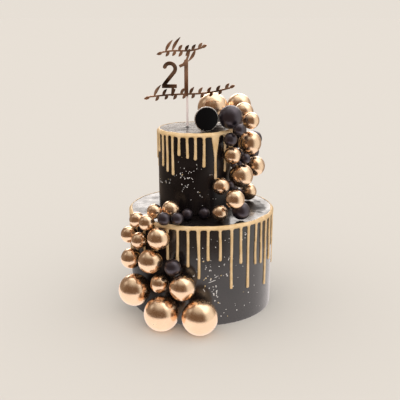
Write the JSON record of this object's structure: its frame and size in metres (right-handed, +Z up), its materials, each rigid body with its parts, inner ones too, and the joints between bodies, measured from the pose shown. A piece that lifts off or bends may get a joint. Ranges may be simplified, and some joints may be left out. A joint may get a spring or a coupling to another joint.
{
  "type": "two-tier drip cake",
  "caption": "Uncut two-tier black cake with a gold drip on each tier, cascades of gold and black balls, a mirrored number topper and a bare round plaque.",
  "frame": {"origin": "centre of the lower tier's underside", "axes": "+Z up out of the cake's top, -Y towards the side that the numbers face, +X to that side's right"},
  "size_m": [0.2125, 0.2492, 0.3701],
  "materials": {
    "black_icing": "satin",
    "gold_drip": "satin",
    "gold_ball": "polished",
    "black_ball": "matte",
    "topper_mirror": "polished",
    "clear_stick": "gloss",
    "plaque_black": "gloss",
    "plaque_silver": "polished"
  },
  "bodies": {
    "root": {"lower_tier": "black_icing", "upper_tier": "black_icing", "lower_drip": "gold_drip", "upper_drip": "gold_drip", "gold_ball_01": "gold_ball", "gold_ball_02": "gold_ball", "gold_ball_03": "gold_ball", "gold_ball_04": "gold_ball", "gold_ball_05": "gold_ball", "gold_ball_06": "gold_ball", "gold_ball_07": "gold_ball", "gold_ball_08": "gold_ball", "gold_ball_09": "gold_ball", "gold_ball_10": "gold_ball", "gold_ball_11": "gold_ball", "gold_ball_12": "gold_ball", "gold_ball_13": "gold_ball", "gold_ball_14": "gold_ball", "gold_ball_15": "gold_ball", "gold_ball_16": "gold_ball", "gold_ball_17": "gold_ball", "gold_ball_18": "gold_ball", "gold_ball_19": "gold_ball", "gold_ball_20": "gold_ball", "gold_ball_21": "gold_ball", "gold_ball_22": "gold_ball", "gold_ball_23": "gold_ball", "gold_ball_24": "gold_ball", "gold_ball_25": "gold_ball", "gold_ball_26": "gold_ball", "black_ball_01": "black_ball", "black_ball_02": "black_ball", "black_ball_03": "black_ball", "black_ball_04": "black_ball", "black_ball_05": "black_ball", "black_ball_06": "black_ball", "black_ball_07": "black_ball", "black_ball_08": "black_ball", "black_ball_09": "black_ball", "black_ball_10": "black_ball", "black_ball_11": "black_ball", "black_ball_12": "black_ball", "black_ball_13": "black_ball", "black_ball_14": "black_ball", "black_ball_15": "black_ball", "black_ball_16": "black_ball", "black_ball_17": "black_ball", "black_ball_18": "black_ball", "topper_plate": "topper_mirror", "topper_stick": "clear_stick", "plaque_face": "plaque_black", "plaque_back": "plaque_silver"}
  },
  "joints": []
}
